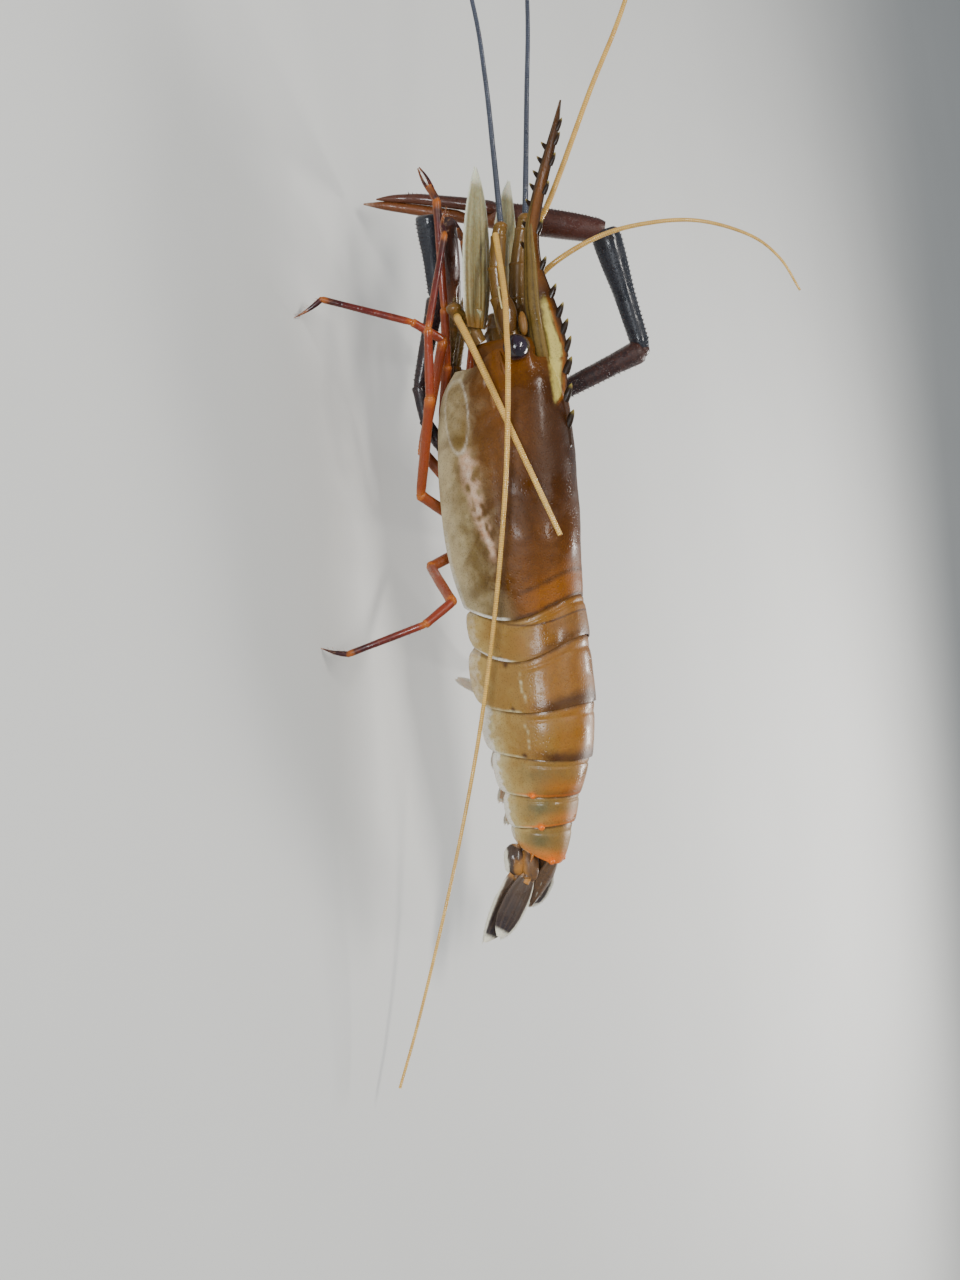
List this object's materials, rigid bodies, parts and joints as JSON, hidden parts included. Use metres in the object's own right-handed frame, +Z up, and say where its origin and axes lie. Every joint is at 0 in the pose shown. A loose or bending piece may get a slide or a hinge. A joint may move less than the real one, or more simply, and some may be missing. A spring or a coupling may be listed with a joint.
{
  "type": "giant river prawn",
  "caption": "Life-size giant river prawn standing on its walking legs, with long jointed claws, a toothed rostrum, whip-like feelers and a folded tail fan.",
  "frame": {"origin": "on the floor that the prawn stands on, under the middle of its bounding box", "axes": "+Z up; the prawn faces -X, and its right side is +Y"},
  "size_m": [0.3563, 0.0998, 0.1105],
  "materials": {
    "shell": "wet, semi-gloss, olive brown",
    "tail_shell": "wet, semi-gloss, amber with darker bands",
    "leg": "wet, semi-gloss, orange red",
    "claw": "rough, spiny, dark maroon brown",
    "eye": "glossy, near black",
    "scale": "semi-gloss, olive grey",
    "feeler_blue": "satin, dark slate blue",
    "feeler_tan": "satin, tan",
    "fan": "semi-gloss, dark with pale edges",
    "swimmeret": "semi-gloss, pale pinkish tan"
  },
  "bodies": {
    "root": {"carapace": "shell", "rostrum": "shell", "head_front": "shell", "eyestalk_left": "shell", "eyestalk_right": "shell", "antennule_left": "shell", "antennule_right": "shell", "abdomen_1": "tail_shell", "abdomen_2": "tail_shell", "abdomen_3": "tail_shell", "abdomen_4": "tail_shell", "abdomen_5": "tail_shell", "abdomen_6": "tail_shell", "leg1_left": "leg", "leg1_right": "leg", "leg3_left": "leg", "leg3_right": "leg", "leg4_left": "leg", "leg4_right": "leg", "leg5_left": "leg", "leg5_right": "leg", "claw_arm_left": "claw", "claw_arm_right": "claw", "claw_wrist_left": "claw", "claw_wrist_right": "claw", "claw_palm_left": "claw", "claw_palm_right": "claw", "claw_finger_left": "claw", "claw_finger_right": "claw", "eye_left": "eye", "eye_right": "eye", "antenna_left": "scale", "antenna_right": "scale", "antenna_scale_left": "scale", "antenna_scale_right": "scale", "maxilliped_left": "scale", "maxilliped_right": "scale", "antennule_whip_upper_left": "feeler_blue", "antennule_whip_upper_right": "feeler_blue", "antennule_whip_lower_left": "feeler_tan", "antennule_whip_lower_right": "feeler_tan", "antenna_whip_left": "feeler_tan", "antenna_whip_right": "feeler_tan", "telson": "fan", "uropod_inner_left": "fan", "uropod_inner_right": "fan", "uropod_outer_left": "fan", "uropod_outer_right": "fan", "swimmeret1_left": "swimmeret", "swimmeret1_right": "swimmeret", "swimmeret2_left": "swimmeret", "swimmeret2_right": "swimmeret", "swimmeret3_left": "swimmeret", "swimmeret3_right": "swimmeret", "swimmeret4_left": "swimmeret", "swimmeret4_right": "swimmeret", "swimmeret5_left": "swimmeret", "swimmeret5_right": "swimmeret"}
  },
  "joints": []
}
